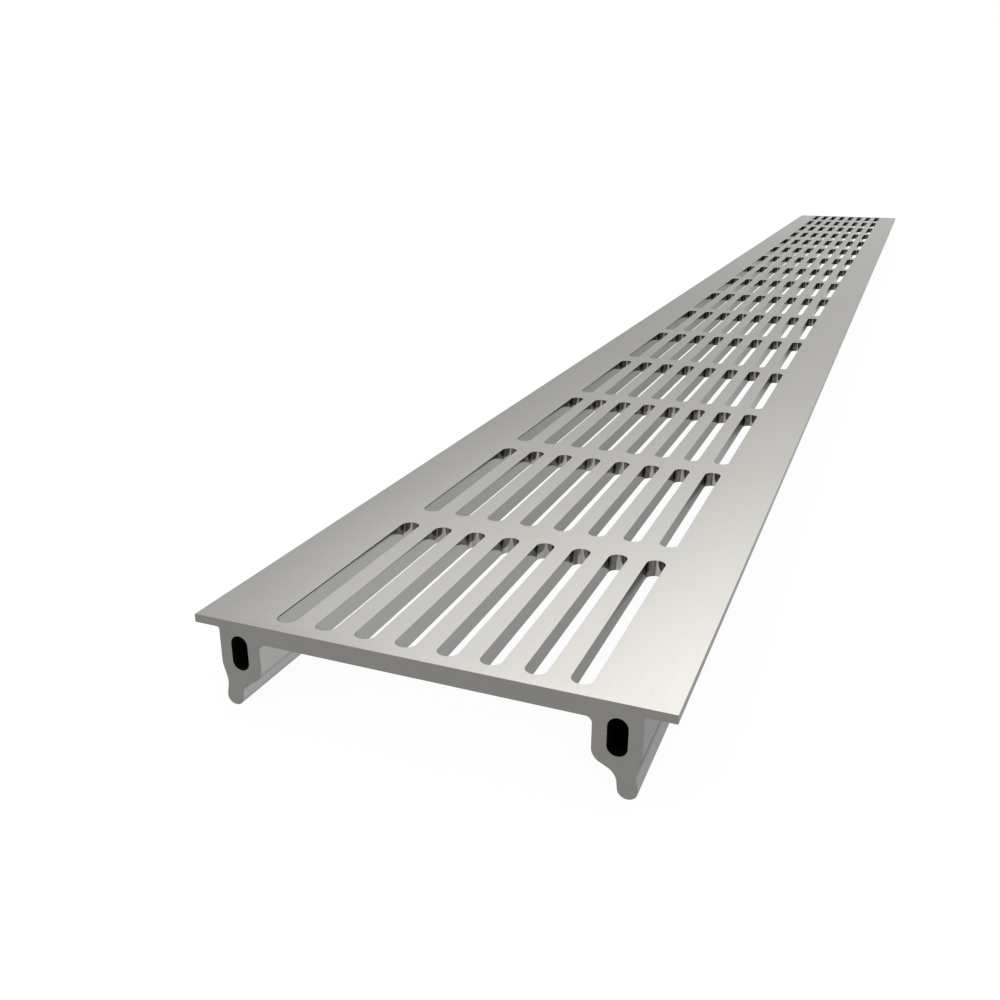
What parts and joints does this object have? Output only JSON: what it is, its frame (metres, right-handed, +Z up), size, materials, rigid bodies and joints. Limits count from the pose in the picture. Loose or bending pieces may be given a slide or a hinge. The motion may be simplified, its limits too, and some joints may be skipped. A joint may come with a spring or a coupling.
{
  "type": "channel drain grating",
  "caption": "Long flat aluminium grating for a channel drain: slotted deck with thin side flanges over hollow snap-in legs, cut square at the ends.",
  "frame": {"origin": "under the middle of the deck, at the height of the lowest points of the legs' noses", "axes": "+Z up through the walking surface, +Y along the length, from the end whose first row of slots is nearer to it, +X across the width"},
  "size_m": [0.093, 1, 0.018],
  "materials": {
    "aluminium": "satin mill finish with fine lines along the length"
  },
  "bodies": {
    "root": {"slotted_grate": "aluminium"}
  },
  "joints": []
}
